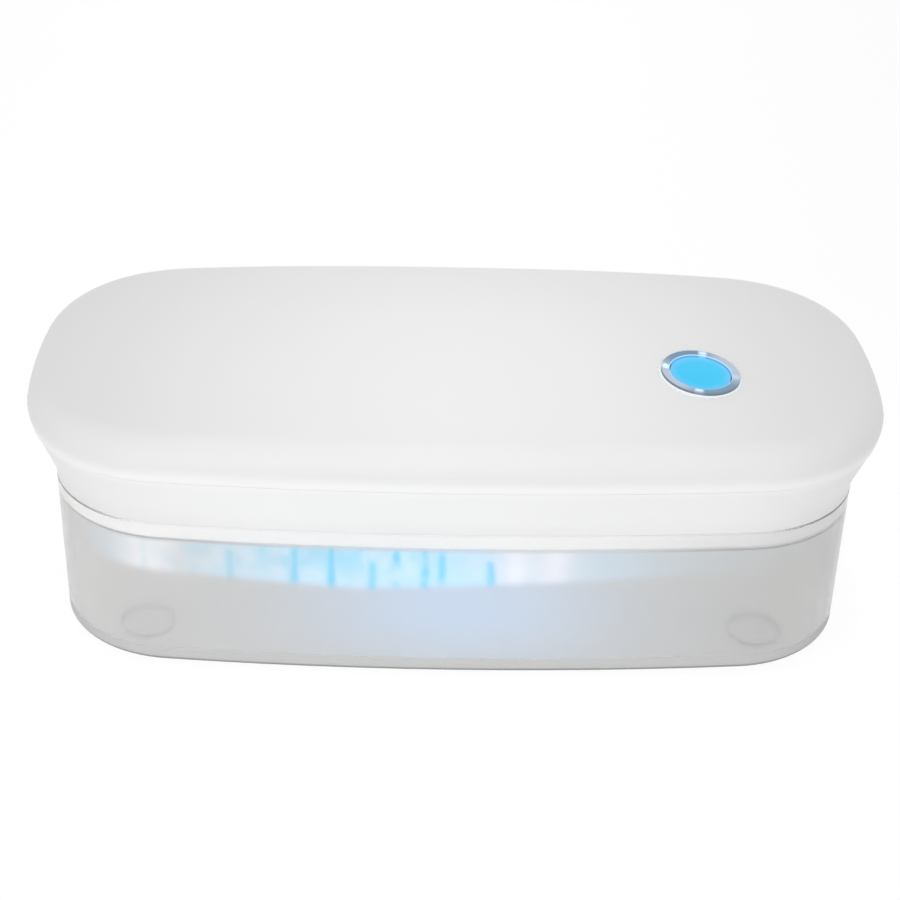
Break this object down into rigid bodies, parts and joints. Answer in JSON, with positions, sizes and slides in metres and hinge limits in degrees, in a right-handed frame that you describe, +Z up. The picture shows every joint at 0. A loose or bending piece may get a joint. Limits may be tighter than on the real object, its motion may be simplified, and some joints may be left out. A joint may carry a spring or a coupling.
{
  "type": "uv disinfection box",
  "caption": "Long round-cornered disinfection box: frosted tub with a drafted wall, domed lift-off lid with a flared band and a round lit push button.",
  "frame": {"origin": "on the resting surface, under the middle of the box", "axes": "+X along the length to the button's end, -Y to the front, +Z up"},
  "size_m": [0.26, 0.13, 0.0918],
  "materials": {
    "frosted_plastic": "frosted, see-through",
    "magnet_metal": "nickel plated",
    "clear_silicone": "soft, clear",
    "white_plastic_satin": "satin white",
    "white_plastic_gloss": "soft gloss white",
    "bezel_chrome": "bright plated",
    "clear_light_guide": "clear, lit",
    "lens_blue": "lit blue, glossy",
    "button_plastic": "satin",
    "switch_plastic": "satin black",
    "board_green": "solder mask",
    "lamp_package": "satin",
    "board_white": "white solder mask",
    "lamp_ceramic": "ceramic, satin",
    "window_glass": "clear",
    "reflector_aluminium": "bright rolled",
    "screw_steel": "zinc plated",
    "cap_rubber": "soft, matt",
    "chip_black": "matt black",
    "coil_grey": "matt ferrite",
    "connector_plastic": "satin ivory",
    "socket_steel": "stamped steel",
    "cell_sleeve": "shrink sleeve",
    "holder_plastic": "satin black",
    "contact_steel": "nickel plated"
  },
  "bodies": {
    "base": {"tub": "frosted_plastic", "tub_magnet": "magnet_metal", "rubber_feet": "clear_silicone"},
    "lid": {"lid_tray": "white_plastic_satin", "plug_ring": "white_plastic_satin", "lid_cover": "white_plastic_gloss", "button_bezel": "bezel_chrome", "button_light_ring": "clear_light_guide", "switch_housing": "switch_plastic", "switch_board": "board_green", "button_leds": "lamp_package", "led_board": "board_white", "uvc_leds": "lamp_ceramic", "glow_leds": "lamp_package", "led_windows": "window_glass", "reflector_plate": "reflector_aluminium", "lid_screws": "screw_steel", "screw_caps": "cap_rubber", "main_board": "board_green", "board_screws": "screw_steel", "control_chip": "chip_black", "inductor": "coil_grey", "wire_connectors": "connector_plastic", "hall_sensor": "chip_black", "usb_port": "socket_steel", "usb_tongue": "chip_black", "battery_cell": "cell_sleeve", "battery_holder": "holder_plastic", "battery_contacts": "contact_steel"},
    "button": {"button_lens": "lens_blue", "button_body": "button_plastic", "switch_stem": "switch_plastic"}
  },
  "joints": [
    {"name": "lid_lift", "type": "slide", "parent": "base", "child": "lid", "axis": [0, 0, 1], "range_m": [0, 0.08]},
    {"name": "button_press", "type": "slide", "parent": "lid", "child": "button", "axis": [-0.0813, 0.0837, -0.9932], "range_m": [0, 0.0008], "stiffness_N_per_m": 2500}
  ]
}
